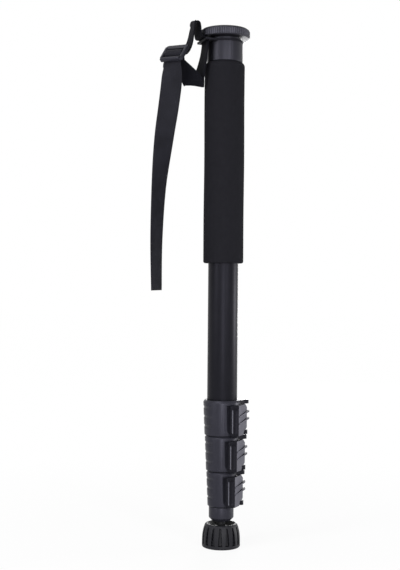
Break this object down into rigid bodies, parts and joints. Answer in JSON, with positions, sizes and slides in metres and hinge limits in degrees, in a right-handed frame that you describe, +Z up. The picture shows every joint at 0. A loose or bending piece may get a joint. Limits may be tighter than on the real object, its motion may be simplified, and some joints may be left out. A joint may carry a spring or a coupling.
{
  "type": "camera monopod",
  "caption": "Folding camera monopod: telescopic tubes with flip locks, foam grip, wrist strap, threaded camera platform and a rubber foot that screws up to bare a spike.",
  "frame": {"origin": "on the tube axis, in the plane of the foot's bottom face", "axes": "+Z up along the tube axis to the camera stud, -Y towards the front, +X towards the levers"},
  "size_m": [0.1, 0.0546, 0.5264],
  "materials": {
    "black_plastic": "satin moulded plastic with a fine texture",
    "black_tube": "black anodised aluminium, satin",
    "foam": "closed-cell foam, matte",
    "webbing": "woven nylon webbing",
    "rubber": "matte moulded rubber",
    "pale_plastic": "natural acetal",
    "steel": "turned steel",
    "brass": "turned brass"
  },
  "bodies": {
    "upper_leg": {"mounting_plate": "black_plastic", "plate_pad": "rubber", "camera_stud": "steel", "strap_anchor": "black_plastic", "head_collar": "black_plastic", "head_collar_screws": "steel", "tube_plug": "pale_plastic", "upper_tube": "black_tube", "foam_grip": "foam", "wrist_strap": "webbing", "strap_buckle": "black_plastic", "lock_1_collar": "black_plastic", "lock_1_pin": "steel", "lock_1_screw": "steel"},
    "section_2": {"tube_2": "black_tube", "bush_2": "pale_plastic", "lock_2_collar": "black_plastic", "lock_2_pin": "steel", "lock_2_screw": "steel"},
    "section_3": {"tube_3": "black_tube", "bush_3": "pale_plastic", "lock_3_collar": "black_plastic", "lock_3_pin": "steel", "lock_3_screw": "steel"},
    "section_4": {"tube_4": "black_tube", "bush_4": "pale_plastic", "foot_ferrule": "black_plastic", "spike_stem": "steel"},
    "lever_1": {"lever_1": "black_plastic"},
    "lever_2": {"lever_2": "black_plastic"},
    "lever_3": {"lever_3": "black_plastic"},
    "shoe_1": {"shoe_1": "pale_plastic"},
    "shoe_2": {"shoe_2": "pale_plastic"},
    "shoe_3": {"shoe_3": "pale_plastic"},
    "foot_ring": {"foot_wiper": "rubber"},
    "foot": {"rubber_foot": "rubber", "foot_insert": "brass"}
  },
  "joints": [
    {"name": "section_2_slide", "type": "slide", "parent": "upper_leg", "child": "section_2", "axis": [0, 0, -1], "range_m": [0, 0.326]},
    {"name": "section_3_slide", "type": "slide", "parent": "section_2", "child": "section_3", "axis": [0, 0, -1], "range_m": [0, 0.3615]},
    {"name": "section_4_slide", "type": "slide", "parent": "section_3", "child": "section_4", "axis": [0, 0, -1], "range_m": [0, 0.397]},
    {"name": "lever_1_flip", "type": "hinge", "parent": "upper_leg", "child": "lever_1", "pos_m": [0.02265, 0.00502, 0.129], "axis": [0, 0, 1], "range_deg": [0, 110]},
    {"name": "shoe_1_release", "type": "slide", "parent": "upper_leg", "child": "shoe_1", "axis": [0.9763, 0.2164, 0], "range_m": [0, 0.0004]},
    {"name": "lever_2_flip", "type": "hinge", "parent": "section_2", "child": "lever_2", "pos_m": [0.02089, 0.00463, 0.0935], "axis": [0, 0, 1], "range_deg": [0, 110]},
    {"name": "shoe_2_release", "type": "slide", "parent": "section_2", "child": "shoe_2", "axis": [0.9763, 0.2164, 0], "range_m": [0, 0.0004]},
    {"name": "lever_3_flip", "type": "hinge", "parent": "section_3", "child": "lever_3", "pos_m": [0.01913, 0.00424, 0.058], "axis": [0, 0, 1], "range_deg": [0, 110]},
    {"name": "shoe_3_release", "type": "slide", "parent": "section_3", "child": "shoe_3", "axis": [0.9763, 0.2164, 0], "range_m": [0, 0.0004]},
    {"name": "foot_lift", "type": "slide", "parent": "section_4", "child": "foot_ring", "axis": [0, 0, 1], "range_m": [0, 0.006]},
    {"name": "foot_twist", "type": "hinge", "parent": "foot_ring", "child": "foot", "pos_m": [0, 0, 0.01], "axis": [0, 0, 1], "range_deg": [0, 1440]}
  ],
  "couplings": [
    {"joint": "shoe_1_release", "follows": "lever_1_flip", "m_per_rad": 0.00020814},
    {"joint": "shoe_2_release", "follows": "lever_2_flip", "m_per_rad": 0.00020814},
    {"joint": "shoe_3_release", "follows": "lever_3_flip", "m_per_rad": 0.00020814},
    {"joint": "foot_lift", "follows": "foot_twist", "m_per_rad": 0.00023871}
  ]
}
